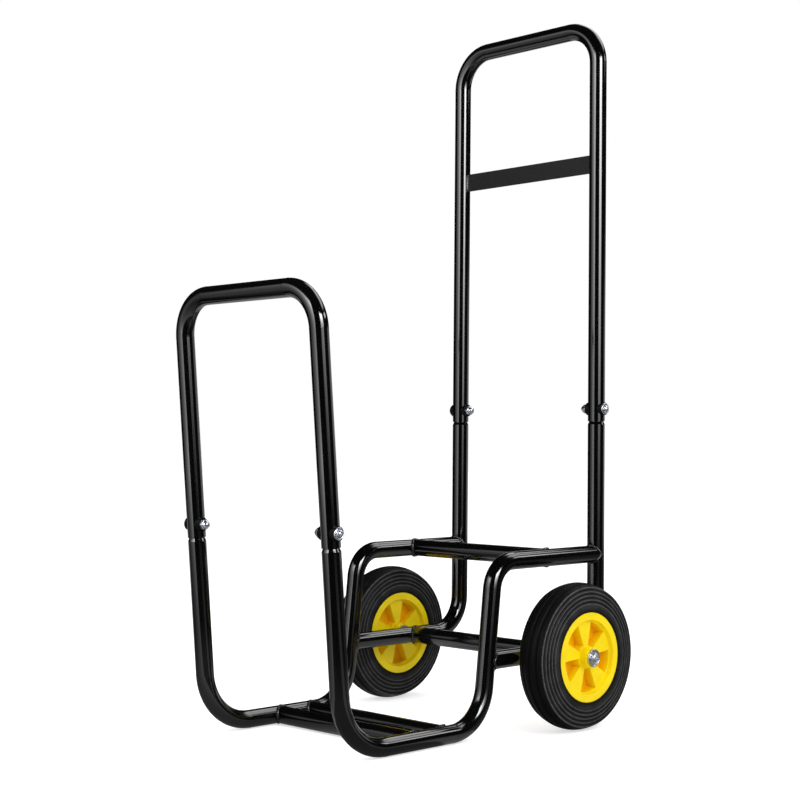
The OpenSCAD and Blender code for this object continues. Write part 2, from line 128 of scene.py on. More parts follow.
class LogCartSizes(bpy.types.PropertyGroup):
    """Sizes of the details, which the nodes' boxes don't give."""

    rear_lean: turn("Rear lean", "Backward lean of the handle and the rear uprights", 0.7)
    rise_lean: turn("Rise lean", "Backward lean of the tubes that rise to the step", 6.8)
    rise_foot: length("Rise foot", "Where the rising tubes would meet the base rails, behind the middle", 20)
    weld_radius: length("Weld bead", "Radius of the weld beads", 1.9)
    weld_pitch: length("Weld ripple", "Distance between the ripples of a weld bead", 2.4)

    spokes: number("Spokes", "Number of spokes of each hub", 5, 4, 7)
    spoke_turn: turn("Spoke turn", "Turn of the spokes from upright", 5)
    ring_width: length("Hub ring", "Width of the flat ring at the edge of each hub", 10)
    ring_slope: length("Ring slope", "How far the ring's inner wall leans in", 3)
    ring_inset: length("Ring inset", "How far the flat ring lies inside the widest part of the tyre", 1)
    boss_radius: length("Hub boss", "Radius of the boss in the middle of each hub", 14.5)
    boss_flare: length("Boss flare", "How much wider the boss is at the spokes than at its end", 1)
    spoke_drop: length("Spoke drop", "How far the spokes lie below the flat ring", 6)
    pocket_depth: length("Pocket depth", "Depth of the pockets below the spokes", 15)
    pocket_side: turn("Pocket side", "Angle round the hub that a side wall of a pocket takes up", 1.8)
    pocket_inner: length("Pocket inner wall", "How far a pocket's wall at the boss leans out", 2.4)
    pocket_outer: length("Pocket outer wall", "How far a pocket's wall at the ring leans in", 1.8)
    seat_inset: length("Seat inset", "How far the seat of the tyre lies inside the flat ring", 6)
    rim_lip: length("Rim lip", "Height of the rim's flanges over the seat of the tyre", 3)

    tread_width: length("Tread", "Width of the tread between its shoulders", 39)
    tread_drop: length("Tread crown", "How much lower the tread is at its shoulders than at its middle", 5)
    shoulder: length("Shoulder", "Size of the round between tread and side wall", 1.5)
    groove_width: length("Groove width", "Width of a tread groove at the face of the tread", 3.2)
    groove_depth: length("Groove depth", "Depth of the tread grooves", 2.2)
    grooves: number("Grooves", "Number of grooves round the tread", 3, 1, 5)
    ribs: number("Ribs", "Number of ribs on each side wall", 4, 2, 7)
    rib_height: length("Rib height", "Height of the side wall's ribs", 1.2)
    smooth_band: length("Smooth band", "Width of the plain band of the side wall next to the hub", 11)

    bolt_radius: length("Joint bolt head", "Radius of the flanged head of a joint bolt", 8.25)
    bolt_ring: length("Joint bolt ring", "Width of the flange and its groove round the domed middle", 3.2)
    bolt_height: length("Joint bolt height", "Height of that head", 6)
    bolt_recess: length("Joint bolt recess", "Length of the cross recess in that head", 4.4)
    recess_depth: length("Recess depth", "Depth of all cross recesses", 1.8)
    shank_radius: length("Joint bolt shank", "Radius of a joint bolt's shank", 4)
    saddle: length("Saddle washer", "Thickness of a saddle washer over the crown of the tube", 2.5)
    nut_flat: length("Cap nut", "Distance of a cap nut's flats from its middle", 6.5)
    nut_height: length("Cap nut height", "Height of the hexagon of a cap nut", 6.5)
    end_radius: length("Axle bolt head", "Radius of the head of an axle end bolt", 6.9)
    end_height: length("Axle bolt height", "Height of that head", 5.5)
    end_recess: length("Axle bolt recess", "Length of the cross recess in that head", 4.6)
    end_shank: length("Axle bolt shank", "Radius of an axle end bolt's shank", 3)
    end_reach: length("Axle bolt reach", "Length of that shank inside the cup washer", 18)
    washer_radius: length("Cup washer", "Radius of the outer washers of the axle", 12.5)
    washer_seat: length("Cup washer seat", "Height of a cup washer under the bolt's head", 2)


class LogCartFinish(bpy.types.PropertyGroup):
    """Colours and glosses of the cart's finishes."""

    coat_colour: colour("Powder coat", "Colour of the coated tubes", 0.0010, 0.0010, 0.0012)
    coat_gloss: share("Coat roughness", "Roughness of the powder coat", 0.10)
    weld_gloss: share("Weld roughness", "Roughness of the coat over the weld beads", 0.24)
    hub_colour: colour("Hub plastic", "Colour of the moulded hubs", 0.98, 0.760, 0.002)
    rubber_colour: colour("Tyre rubber", "Colour of the solid tyres", 0.0050, 0.0050, 0.0050)
    zinc_colour: colour("Zinc", "Colour of the zinc plated fasteners", 0.86, 0.88, 0.91)


class LogCartStage(bpy.types.PropertyGroup):
    """Camera and light."""

    azimuth: turn("Camera azimuth", "Direction of the camera, from the front towards the left wheel", 45.95)
    camera_height: length("Camera height", "Height of the camera over the floor", 417.3)
    target_height: length("Target height", "Height of the point that the camera looks at", 461.4)
    target_back: length("Target place", "How far behind the cart's middle that point lies", 0.7)
    camera_reach: length("Camera reach", "Distance from that point to the camera, over the floor", 2257.3)
    lens: FloatProperty(
        name="Lens", description="Focal length, in millimetres, for a 36 mm wide image", default=71.5)
    key_power: FloatProperty(
        name="Key light", description="Power of the large soft lamp", default=50, subtype="POWER")
    room_light: share("Room light", "Strength of the white room's light on the cart and the floor", 0.62)
    floor_glow: share("Floor white", "Light that the floor shows the camera beyond what falls on it", 0.60)


def sizes():
    return bpy.context.scene.log_cart_sizes


def finish():
    return bpy.context.scene.log_cart_finish


def stage():
    return bpy.context.scene.log_cart_stage


# -------------------- meshes from grids

def grid(points, wrap_u=False, wrap_v=False, capped=False):
    """Corners and quads of a surface, one quad for each cell of a grid of points.

    Corner (i, j) of the grid joins (i + 1, j), (i + 1, j + 1) and (i, j + 1); a wrapped side joins its
    last row to its first. With capped, a fan of quads round its middle closes the first row, and
    another the last. The quads are turned so that the enclosed volume is positive.
    """
    nu, nv = points.shape[:2]
    cells = np.arange(nu if wrap_u else nu - 1), np.arange(nv if wrap_v else nv - 1)
    i, j = np.meshgrid(*cells, indexing="ij")
    i2, j2 = (i + 1) % nu, (j + 1) % nv
    quads = np.stack([i * nv + j, i2 * nv + j, i2 * nv + j2, i * nv + j2], axis=-1).reshape(-1, 4)
    verts = points.reshape(-1, 3)
    if capped:
        k = np.arange(0, nv, 2)
        fan = np.stack([k * 0, k, (k + 1) % nv, (k + 2) % nv], axis=-1)
        first = fan + [nu * nv, 0, 0, 0]
        last = (fan + [nu * nv + 1, *[(nu - 1) * nv] * 3])[:, ::-1]
        quads = np.concatenate([quads, first, last])
        verts = np.concatenate([verts, points[[0, -1]].mean(axis=1)])
    a, b, c, d = (verts[quads[:, k]] for k in range(4))
    volume = (np.cross(a, b) * c).sum() + (np.cross(a, c) * d).sum()
    return verts, quads if volume >= 0 else quads[:, ::-1]


def mesh_object(name, *grids):
    """One smooth mesh object from the corners and quads of one or more grids."""
    verts = np.concatenate([corners for corners, _ in grids])
    starts = np.cumsum([0, *(len(corners) for corners, _ in grids)])
    quads = np.concatenate([faces + start for (_, faces), start in zip(grids, starts)])
    mesh = bpy.data.meshes.new(name)
    mesh.vertices.add(len(verts))
    mesh.vertices.foreach_set("co", np.ascontiguousarray(verts, dtype=np.float32).ravel())
    mesh.loops.add(quads.size)
    mesh.loops.foreach_set("vertex_index", np.ascontiguousarray(quads, dtype=np.int32).ravel())
    mesh.polygons.add(len(quads))
    mesh.polygons.foreach_set("loop_start", np.arange(0, quads.size, 4, dtype=np.int32))
    mesh.polygons.foreach_set("use_smooth", np.ones(len(quads), dtype=bool))
    mesh.update(calc_edges=True)
    mesh.validate()
    obj = bpy.data.objects.new(name, mesh)
    bpy.context.collection.objects.link(obj)
    return obj


def unit(vectors):
    """A vector, or each row of several, at length 1."""
    vectors = np.asarray(vectors, dtype=float)
    return vectors / np.linalg.norm(vectors, axis=-1, keepdims=True)


def stepped(*stops):
    """Values from stop to stop, each stop given with the number of steps to the next."""
    return np.concatenate([np.linspace(a, b, n, endpoint=False) for (a, n), (b, _) in zip(stops, stops[1:])])


def rounded_loop(corners, radius, steps=2):
    """A closed outline of (r, x) corners with every corner rounded.

    The arc at a corner touches both sides at radius * tan(turn / 2) from it, or at 0.3 of a side where
    that is less. A point just before and just after each arc keeps the shading of the straights flat.
    """
    corners = np.asarray(corners, dtype=float)
    out = []
    for k, p in enumerate(corners):
        a, b = corners[k - 1] - p, corners[(k + 1) % len(corners)] - p
        la, lb = np.linalg.norm(a), np.linalg.norm(b)
        a, b = a / la, b / lb
        half = math.acos(np.clip(a @ b, -1, 1)) / 2
        if half > math.radians(88):
            out.append(p)
            continue
        cut = min(radius / math.tan(half), 0.3 * la, 0.3 * lb)
        r = cut * math.tan(half)
        centre = p + unit(a + b) * (r / math.sin(half))
        start, end = p + a * cut, p + b * cut
        sweep = math.copysign(math.pi - 2 * half, a[0] * b[1] - a[1] * b[0])
        arm = start - centre
        out.append(start + a * cut * 0.4)
        for angle in np.linspace(0, sweep, steps + 1):
            c, d = math.cos(angle), math.sin(angle)
            out.append(centre + [arm[0] * c - arm[1] * d, arm[0] * d + arm[1] * c])
        out.append(end + b * cut * 0.4)
    return np.array(out)


def turned(spot, side, radius, across, angle):
    """Points at radius from an axis along X through spot, across outwards from it, angle from upright."""
    y = spot[1] + radius * np.sin(angle)
    z = spot[2] + radius * np.cos(angle)
    x = side * (spot[0] + across)
    return np.stack(np.broadcast_arrays(x, y, z), axis=-1)


def profile(radius, height, *steps):
    """Rows (radius, height) of a turned piece, each a step in millimetres from one radius and height."""
    return [(radius + r * MM, height + h * MM) for r, h in steps]


def round_angles(count):
    """Angles evenly round a circle, as one row of a grid."""
    return np.linspace(0, 2 * math.pi, count, endpoint=False)[None, :]


def ring(outline, side, segments):
    """A closed outline of (radius, across) turned about the axle."""
    return grid(turned(WHEEL, side, outline[:, :1], outline[:, 1:], round_angles(segments)), True, True)


def smooth_step(t):
    """0 below 0, 1 above 1, and 6t^5 - 15t^4 + 10t^3 between them."""
    t = np.clip(t, 0, 1)
    return t * t * t * (t * (6 * t - 15) + 10)


def soft_min(a, b, k):
    """The smaller of a and b, with the corner between them rounded over k."""
    h = np.clip(0.5 + 0.5 * (b - a) / k, 0, 1)
    return b + (a - b) * h - k * h * (1 - h)


# -------------------- materials

class NodeTree:
    """Short names for making a node tree."""

    def __init__(self, tree):
        self.tree = tree

    def add(self, kind, inputs=None, **settings):
        """A new node with its settings and its inputs, each a value or the output that feeds it."""
        node = self.tree.nodes.new(kind)
        for key, value in settings.items():
            setattr(node, key, value)
        for key, value in (inputs or {}).items():
            self.feed(node.inputs[key], value)
        return node

    def feed(self, socket, value):
        """Links a socket to an output, or gives it a value; a colour of three parts is opaque."""
        if isinstance(value, bpy.types.NodeSocket):
            self.tree.links.new(value, socket)
        elif socket.type == "RGBA":
            socket.default_value = (*value, 1)
        else:
            socket.default_value = value

    def maths(self, operation, first, second=0.0):
        return self.add("ShaderNodeMath", {0: first, 1: second}, operation=operation).outputs["Value"]

    def spread(self, value, low, high, start=0.3, end=0.7):
        """value from start to end, spread over low to high."""
        return self.add("ShaderNodeMapRange", {
            "Value": value, "From Min": start, "From Max": end, "To Min": low, "To Max": high,
        }).outputs["Result"]


class MaterialTree(NodeTree):
    """The node tree of a new material, round its one shader."""

    def __init__(self, name):
        self.material = bpy.data.materials.new(name)
        self.material.use_nodes = True
        super().__init__(self.material.node_tree)

    def place(self, centre=(0, 0, 0), scale=(1, 1, 1)):
        """Object coordinates measured from centre."""
        return self.add("ShaderNodeMapping", {
            "Vector": self.add("ShaderNodeTexCoord").outputs["Object"],
            "Location": [-c * s for c, s in zip(centre, scale)], "Scale": scale,
        }).outputs["Vector"]

    def noise(self, vector, scale, detail=3, roughness=0.5):
        return self.add("ShaderNodeTexNoise", {
            "Vector": vector, "Scale": scale, "Detail": detail, "Roughness": roughness,
        }).outputs["Fac"]

    def mix(self, factor, first, second):
        """Colour first where factor is 0 and second where it is 1."""
        node = self.add("ShaderNodeMix", {"Factor": factor}, data_type="RGBA")
        colours = [socket for socket in node.inputs if socket.type == "RGBA"]
        self.feed(colours[0], first)
        self.feed(colours[1], second)
        return [socket for socket in node.outputs if socket.type == "RGBA"][0]

    def bump(self, height, distance, before=None):
        """The normal bent by height times distance, in metres, over an earlier bump."""
        inputs = {"Height": height, "Distance": distance, "Strength": 1.0}
        if before is not None:
            inputs["Normal"] = before
        return self.add("ShaderNodeBump", inputs).outputs["Normal"]

    def set(self, **sockets):
        """Feeds sockets of the shader, by their names with _ for a space."""
        shader = self.tree.nodes["Principled BSDF"]
        for key, value in sockets.items():
            self.feed(shader.inputs[key.replace("_", " ")], value)
        return self.material


def powder_coat(name, gloss):
    """Glossy black powder coat: a faint orange peel, and patches a little duller than the rest."""
    n = MaterialTree(name)
    here = n.place()
    base = finish().coat_colour
    patches = n.noise(here, 14, 4)
    peel = n.noise(here, 420, 2)
    waves = n.noise(here, 90, 1)
    normal = n.bump(waves, 0.000010, n.bump(peel, 0.000003))
    return n.set(
        Base_Color=n.mix(n.spread(patches, 0, 1), base, tint(base, 1.8)),
        Roughness=n.spread(patches, gloss * 0.85, gloss * 1.25),
        Specular_IOR_Level=1.0,
        Normal=normal)


def flat_bar_coat():
    """The same coat over hot rolled flat bar: duller, with a faint rolled grain along the bar."""
    n = MaterialTree("powder_coat_flat_bar")
    along = n.place(scale=(12, 700, 700))
    here = n.place()
    grain = n.noise(along, 1.0, 3)
    peel = n.noise(here, 500, 2)
    normal = n.bump(peel, 0.00003, n.bump(grain, 0.00004))
    return n.set(
        Base_Color=n.mix(n.spread(grain, 0, 1), (0.0035, 0.0035, 0.0037), (0.0065, 0.0065, 0.0070)),
        Roughness=n.spread(grain, 0.42, 0.52),
        Specular_IOR_Level=0.35,
        Normal=normal)


def wheel_middle(side):
    """The middle of the wheel on that side."""
    return (SIDES[side] * WHEEL[0], WHEEL[1], WHEEL[2])


def hub_plastic(side):
    """Moulded yellow plastic: a soft gloss, faint flow marks, and painted shade, a deeper amber down in the
    pockets.

    The painted shade grows with the depth below the spokes, by the distance |x| from the wheel's middle.
    """
    s = sizes()
    n = MaterialTree(f"hub_plastic_{side}")
    here = n.place(wheel_middle(side))
    base = finish().hub_colour
    # Painted shade: the second colour stands in for the shade down in the pockets and is mixed in by depth
    deeper, painted_pocket_shade = tint(base, 0.93, 0.88, 0.8), tint(base, 0.93, 0.64, 0.5)
    parts = n.add("ShaderNodeSeparateXYZ", {"Vector": here})
    spokes = ring_height() - s.spoke_drop
    # Mask of the painted pocket shade: 1 on the pockets' floors, 0 just below the spokes
    depth = n.spread(n.maths("ABSOLUTE", parts.outputs["X"]), 1, 0, spokes - s.pocket_depth, spokes - 1 * MM)
    flow = n.noise(here, 45, 5, 0.6)
    grain = n.noise(here, 900, 2)
    normal = n.bump(flow, 0.00012, n.bump(grain, 0.00002))
    return n.set(
        Base_Color=n.mix(depth, n.mix(n.spread(flow, 0, 1, 0.35, 0.75), base, deeper), painted_pocket_shade),
        Roughness=n.spread(flow, 0.30, 0.42),
        Specular_IOR_Level=0.22,
        Normal=normal)


def tyre_rubber(side):
    """Moulded rubber: black tread, and side walls painted lighter for the light that falls on them,
    with a dull bloom in patches. Painted shade darkens the hollows between the ribs, and painted
    grey highlights, broken up by specks, lie on the rib crests and along the shoulder's edge.

    All bands follow the distance r from the axle. The share of the ribs' pitch that r has gone
    through, less its whole part, is 0.5 on the middle of a crest and 0 or 1 down in a hollow.
    """
    s = sizes()
    n = MaterialTree(f"tyre_rubber_{side}")
    here = n.place(wheel_middle(side))
    base = finish().rubber_colour
    # The side wall's colours are painted lighter than the tread, standing in for the light that falls on the
    # side walls; the lighter one also gives a dull bloom in patches
    wall, bloom_and_light = tint(base, 3), tint(base, 7)
    mottle = n.noise(here, 38, 6, 0.65)
    specks = n.noise(here, 420, 4, 0.7)
    grain = n.noise(here, 1300, 2)
    parts = n.add("ShaderNodeSeparateXYZ", {"Vector": here})
    r = n.maths("SQRT", n.maths("ADD", n.maths("POWER", parts.outputs["Y"], 2.0),
                                n.maths("POWER", parts.outputs["Z"], 2.0)))
    rib_from, shoulder, pitch = rib_band()
    crest_middle = (RIB_PROFILE[0][0] - 1 + RIB_PROFILE[-1][0]) / 2
    pitch_from = rib_from + (crest_middle - 0.5) * pitch
    through = n.maths("FRACT", n.maths("DIVIDE", n.maths("SUBTRACT", r, pitch_from), pitch))
    from_crest = n.maths("ABSOLUTE", n.maths("SUBTRACT", through, 0.5))
    ribs = n.maths("MULTIPLY", n.spread(r, 0, 1, rib_from - 0.1 * pitch, rib_from),
                   n.spread(r, 1, 0, shoulder, shoulder + 0.3 * s.shoulder))
    # Painted highlight down the middle of each rib's crest
    crest = n.maths("MULTIPLY", n.spread(from_crest, 1, 0, 0.05, 0.12), ribs)
    # Painted shade: the hollows between the ribs go back to the tread's black
    hollow = n.maths("MULTIPLY", n.spread(from_crest, 0, 0.85, 0.30, 0.45), ribs)
    # Painted highlight along the edge of the shoulder
    edge = n.spread(n.maths("ABSOLUTE", n.maths("SUBTRACT", r, shoulder + 0.5 * s.shoulder)), 1, 0,
                    0.2 * s.shoulder, 0.6 * s.shoulder)
    # The painted highlights of crests and shoulder, broken up by specks
    painted_crest_highlight = n.maths("MULTIPLY", n.maths("MAXIMUM", crest, edge), n.spread(specks, 0.25, 1, 0.35, 0.65))
    # Mask of the side wall, where the painted lighter colours go
    side_wall = n.maths("MULTIPLY", n.spread(r, 0, 1, HUB_R, HUB_R + 8 * MM),
                        n.spread(r, 1, 0, shoulder, shoulder + s.shoulder))
    rubber = n.mix(side_wall, base, n.mix(n.spread(mottle, 0, 1, 0.35, 0.7), wall, bloom_and_light))
    # Painted grey highlight on the crests and the shoulder's edge, laid over the painted shade of the hollows
    rubber = n.mix(painted_crest_highlight, n.mix(hollow, rubber, base), (0.12, 0.12, 0.13))
    normal = n.bump(specks, 0.00008, n.bump(grain, 0.00004))
    return n.set(
        Base_Color=rubber,
        Roughness=n.spread(specks, 0.36, 0.52),
        Specular_IOR_Level=0.06,
        Normal=normal)


def zinc(name):
    """Bright zinc plate: grey metal with faint blue patches, a little uneven."""
    n = MaterialTree(name)
    here = n.place()
    base = finish().zinc_colour
    patches = n.noise(here, 110, 3)
    normal = n.bump(n.noise(here, 600, 2), 0.000002)
    return n.set(
        Base_Color=n.mix(n.spread(patches, 0, 1), base, tint(base, 0.90, 0.92, 0.98)),
        Metallic=1.0,
        Roughness=n.spread(patches, 0.28, 0.38),
        Normal=normal)


def black_moulding():
    """Black moulded plastic of the saddle washers and spacers: satin, with a fine spark grain."""
    n = MaterialTree("black_moulding")
    here = n.place()
    grain = n.noise(here, 850, 3)
    return n.set(
        Base_Color=n.mix(n.spread(grain, 0, 1), (0.0018, 0.0018, 0.0020), (0.0036, 0.0036, 0.0038)),
        Roughness=n.spread(grain, 0.32, 0.46),
        Specular_IOR_Level=0.18,
        Normal=n.bump(grain, 0.00003))


def bush_steel():
    """Plain steel tube of the hub bushes: drawn, with fine rings round it."""
    n = MaterialTree("bush_steel")
    rings = n.noise(n.place(scale=(900, 20, 20)), 1.0, 3)
    return n.set(
        Base_Color=n.mix(n.spread(rings, 0, 1), (0.42, 0.42, 0.43), (0.55, 0.55, 0.56)),
        Metallic=1.0,
        Roughness=n.spread(rings, 0.28, 0.42),
        Normal=n.bump(rings, 0.00002))


def tint(base, *parts):
    """A colour with each of its parts multiplied: by one number, or by one for each part."""
    return tuple(np.array(base) * parts)


def dress(obj, material):
    """Gives a piece its one material."""
    obj.data.materials.clear()
    obj.data.materials.append(material)


def dress_nodes(names, material):
    """Puts a material on CAD nodes, whose meshes stay as they are."""
    for name in names:
        for material_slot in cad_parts[name].material_slots:
            material_slot.material = material


# -------------------- welds

BEAD_SIDES = 12


def weld_path(centre, along, other_point, other_axis, other_r, samples=240):
    """The closed line on which a tube of radius TUBE_R meets a second, round tube.

    The tube runs through centre in the direction along, towards the second. Each line on its surface
    is followed by t until its distance from the second tube's axis is other_r: the smaller root of
    |p + t a|^2 = other_r^2, where p and a are taken square to that axis.
    """
    a, b = unit(along), unit(other_axis)
    e1 = unit(b - (b @ a) * a)
    e2 = np.cross(a, e1)
    angle = np.linspace(0, 2 * math.pi, samples, endpoint=False)[:, None]
    start = np.array(centre) + TUBE_R * (np.cos(angle) * e1 + np.sin(angle) * e2)
    p = start - np.array(other_point)
    p = p - (p @ b)[:, None] * b
    a_flat = a - (a @ b) * b
    qa = a_flat @ a_flat
    qb = p @ a_flat
    qc = (p * p).sum(axis=1) - other_r ** 2
    t = (-qb - np.sqrt(np.maximum(qb ** 2 - qa * qc, 0))) / qa
    return start + t[:, None] * a


def bead_radius(along, total):
    """Radius of a weld bead at a distance along it: a saw-tooth, as stacked weld drops leave.

    It is weld_radius * (0.86 + 0.24 * frac(n * along / total)^0.6), for the whole number n of drops
    whose pitch comes nearest to weld_pitch.
    """
    s = sizes()
    count = max(2, round(total / s.weld_pitch))
    return s.weld_radius * (0.86 + 0.24 * (along / total * count % 1) ** 0.6)


def weld_ring(path):
    """A closed weld bead round a closed line of points, lifted where it would reach under the floor."""
    path = path.copy()
    path[:, 2] = np.maximum(path[:, 2], 1.1 * sizes().weld_radius)
    ahead = np.roll(path, -1, axis=0) - path
    steps = np.linalg.norm(ahead, axis=1)
    r = bead_radius(np.cumsum(steps) - steps, steps.sum())
    tangent = unit(ahead + np.roll(ahead, 1, axis=0))
    side = path - path.mean(axis=0)
    side = unit(side - (side * tangent).sum(axis=1, keepdims=True) * tangent)
    up = np.cross(tangent, side)
    angle = round_angles(BEAD_SIDES)[..., None]
    out = np.cos(angle) * side[:, None] + np.sin(angle) * up[:, None]
    return grid(path[:, None] + r[:, None, None] * out, True, True)


def weld_line(start, end, samples=48):
    """A straight weld bead whose closed ends taper as half circles."""
    total = np.linalg.norm(end - start)
    tangent = (end - start) / total
    along = total * (1 - np.cos(np.linspace(0.02, math.pi - 0.02, samples))) / 2
    from_end = np.minimum(along, total - along) / sizes().weld_radius
    r = bead_radius(along, total) * np.sqrt(1 - (1 - np.clip(from_end, 0, 1)) ** 2)
    side = unit(np.cross(tangent, [0, 1, 0]))
    up = np.cross(tangent, side)
    angle = round_angles(BEAD_SIDES)[..., None]
    path = start + along[:, None] * tangent
    out = np.cos(angle) * side + np.sin(angle) * up
    return grid(path[:, None] + r[:, None, None] * out, False, True, capped=True)


class LOGCART_OT_welds(bpy.types.Operator):
    """Lay the weld beads where the tubes meet"""

    bl_idname = "log_cart.welds"
    bl_label = "Weld beads"

    def execute(self, context):
        s = sizes()
        step_z = middle("step_cross_tube")[2]
        rail_z = middle("front_cross_tube")[2]
        brace_z = WHEEL[2]
        handle_back, handle_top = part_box("rear_handle")[1][1:]
        upright = np.array([0, math.sin(s.rear_lean), math.cos(s.rear_lean)])
        rise = np.array([0, math.sin(s.rise_lean), math.cos(s.rise_lean)])
        upright_y = handle_back - TUBE_R - (handle_top - TUBE_R - step_z) * math.tan(s.rear_lean)
        rise_y = s.rise_foot + (brace_z - rail_z) * math.tan(s.rise_lean)
        beads = []
        for side in SIDES.values():
            x = side * SIDE_X
            beads += [
                self.ring((x, upright_y, step_z), (0, 1, 0), upright),
                self.ring((x, rise_y, brace_z), (0, -1, 0), rise),
                *(self.ring((x, *middle(tube)[1:]), (side, 0, 0), (0, 1, 0)) for tube in CROSS_TUBES),
                *self.crossbar_beads(side, upright),
            ]
        welds = mesh_object("weld_beads", *beads)
        dress(welds, powder_coat("powder_coat_welds", finish().weld_gloss))
        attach(welds, CART)
        return {"FINISHED"}

    def ring(self, spot, along, axis):
        """The bead round a tube that runs in the direction along and ends on a second tube at spot."""
        spot = np.array(spot)
        start = spot - 50 * MM * np.array(along)
        return weld_ring(weld_path(start, along, spot, axis, TUBE_R + 0.5 * MM))

    def crossbar_beads(self, side, upright):
        """Upright beads on the front and the back of the flat bar, where it meets a leg."""
        reach = half_size("handle_crossbar")[2] * upright
        spot = np.array([side * (SIDE_X - TUBE_R + 0.2 * MM), *middle("handle_crossbar")[1:]])
        faces = [spot + [0, y, 0] for y in (-1.5 * MM, 1.5 * MM)]
        return [weld_line(face - reach, face + reach) for face in faces]


# -------------------- tubes

class LOGCART_OT_tubes(bpy.types.Operator):
    """Coat the frame, the loops and the crosspiece of the handle"""

    bl_idname = "log_cart.tubes"
    bl_label = "Coated tubes"

    def execute(self, context):
        dress_nodes(COATED_NODES, powder_coat("powder_coat_black", finish().coat_gloss))
        dress_nodes(["handle_crossbar"], flat_bar_coat())
        return {"FINISHED"}


# -------------------- wheels

def ring_height():
    """Height of the hub's flat ring over the wheel's middle."""
    return TYRE_HALF_W - sizes().ring_inset


def hub_face(r, angle):
    """Height of the hub's face over the wheel's middle, at radius r and angle from the nearest pocket.

    Boss, spokes and flat ring follow each other by smooth steps along the radius. A pocket is a
    product of three smooth steps: one over its two side walls, which run along rays, one over its
    inner wall and one over its outer wall.
    """
    s = sizes()
    spoke_h = ring_height() - s.spoke_drop
    ring_foot = HUB_R - s.ring_width - s.ring_slope
    boss_wall = (r - s.boss_radius + 0.3 * MM) / (s.boss_flare + 0.6 * MM)
    face = BOSS_HALF + (spoke_h - BOSS_HALF) * smooth_step(boss_wall)
    face = face + s.spoke_drop * smooth_step((r - ring_foot) / s.ring_slope)
    half = math.pi / s.spokes / 2
    sides = smooth_step((half + s.pocket_side - np.abs(angle)) / s.pocket_side)
    inner = smooth_step((r - s.boss_radius - s.boss_flare - 0.6 * MM) / s.pocket_inner)
    outer = smooth_step((ring_foot + 0.2 * MM - r) / s.pocket_outer)
    return face - s.pocket_depth * sides * inner * outer


def hub_angles():
    """Angles round the hub, close together over the pockets' walls, and each one's angle from its pocket."""
    s = sizes()
    period = 2 * math.pi / s.spokes
    wall_from, wall_to = period / 4 - 0.3 * s.pocket_side, period / 4 + 1.3 * s.pocket_side
    half = stepped((0, 6), (wall_from, 14), (wall_to, 6), (period / 2, 0))
    local = np.concatenate([[-period / 2], -half[:0:-1], half])
    turns = np.arange(s.spokes) * period
    return (turns[:, None] + local[None, :]).ravel(), np.tile(local, s.spokes)


def hub_radii():
    """Radii over the hub's face, close together at the boss and at the walls of the pockets and the ring."""
    s = sizes()
    boss_foot = s.boss_radius + s.boss_flare
    ring_in = HUB_R - s.ring_width
    ring_foot = ring_in - s.ring_slope
    return stepped(
        (s.boss_radius - 1.5 * MM, 2), (s.boss_radius - 0.4 * MM, 10), (boss_foot + 0.4 * MM, 12),
        (boss_foot + 3.4 * MM, 14), (ring_foot - 3.0 * MM, 12), (ring_foot, 12),
        (ring_in + 0.2 * MM, 4), (HUB_R - 1.2 * MM, 0))


def hub_grid(side_name):
    """The hub as one closed surface: bore, face, rim seat, the other face, and back to the bore."""
    s = sizes()
    angle, local = hub_angles()
    radii = hub_radii()[:, None]
    face = hub_face(radii, local)
    bore_r = half_size("left_hub_bush")[2] + FIT
    ring_h = ring_height()
    seat_half = ring_h - s.seat_inset
    flange = seat_half + s.rim_lip / 2
    edge_r = 1.0 * MM
    bore = np.array([(bore_r, 0.5 * BOSS_HALF), *profile(bore_r, BOSS_HALF, (0, -0.5), (0.5, 0))])
    edge = [(HUB_R - edge_r + edge_r * math.sin(a), ring_h - edge_r + edge_r * math.cos(a))
            for a in np.linspace(0, math.pi / 2, 5)]
    outside = np.array([*edge, *profile(HUB_R, flange, (0, 0.2), (-0.1, 0)),
                        (HUB_R - s.rim_lip, seat_half), (HUB_R - s.rim_lip, 0.5 * seat_half)])
    radius = np.concatenate([bore[:, :1], radii, outside[:, :1]])
    across = np.concatenate([bore[:, 1:] + 0 * face[:1], face, outside[:, 1:] + 0 * face[:1]])
    radius = np.concatenate([radius, radius[::-1]])
    across = np.concatenate([across, -across[::-1]])
    # The first pocket points down, turned towards the back; up is angle 0
    return grid(turned(WHEEL, SIDES[side_name], radius, across, math.pi - s.spoke_turn + angle), True, True)


class LOGCART_OT_hubs(bpy.types.Operator):
    """Mould the two wheel hubs"""

    bl_idname = "log_cart.hubs"
    bl_label = "Wheel hubs"

    def execute(self, context):
        for name in SIDES:
            hub = mesh_object(f"{name}_hub_moulding", hub_grid(name))
            dress(hub, hub_plastic(name))
            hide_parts(f"{name}_wheel_hub")
            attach(hub, f"{name}_wheel")
        dress_nodes(BUSH_NODES, bush_steel())
        return {"FINISHED"}


def rib_band():
    """Radii at which the ribs of a side wall start and the shoulder begins, and the ribs' pitch."""
    s = sizes()
    start, shoulder = HUB_R + s.smooth_band, WHEEL_R - s.tread_drop - s.shoulder
    return start, shoulder, (shoulder - start) / s.ribs


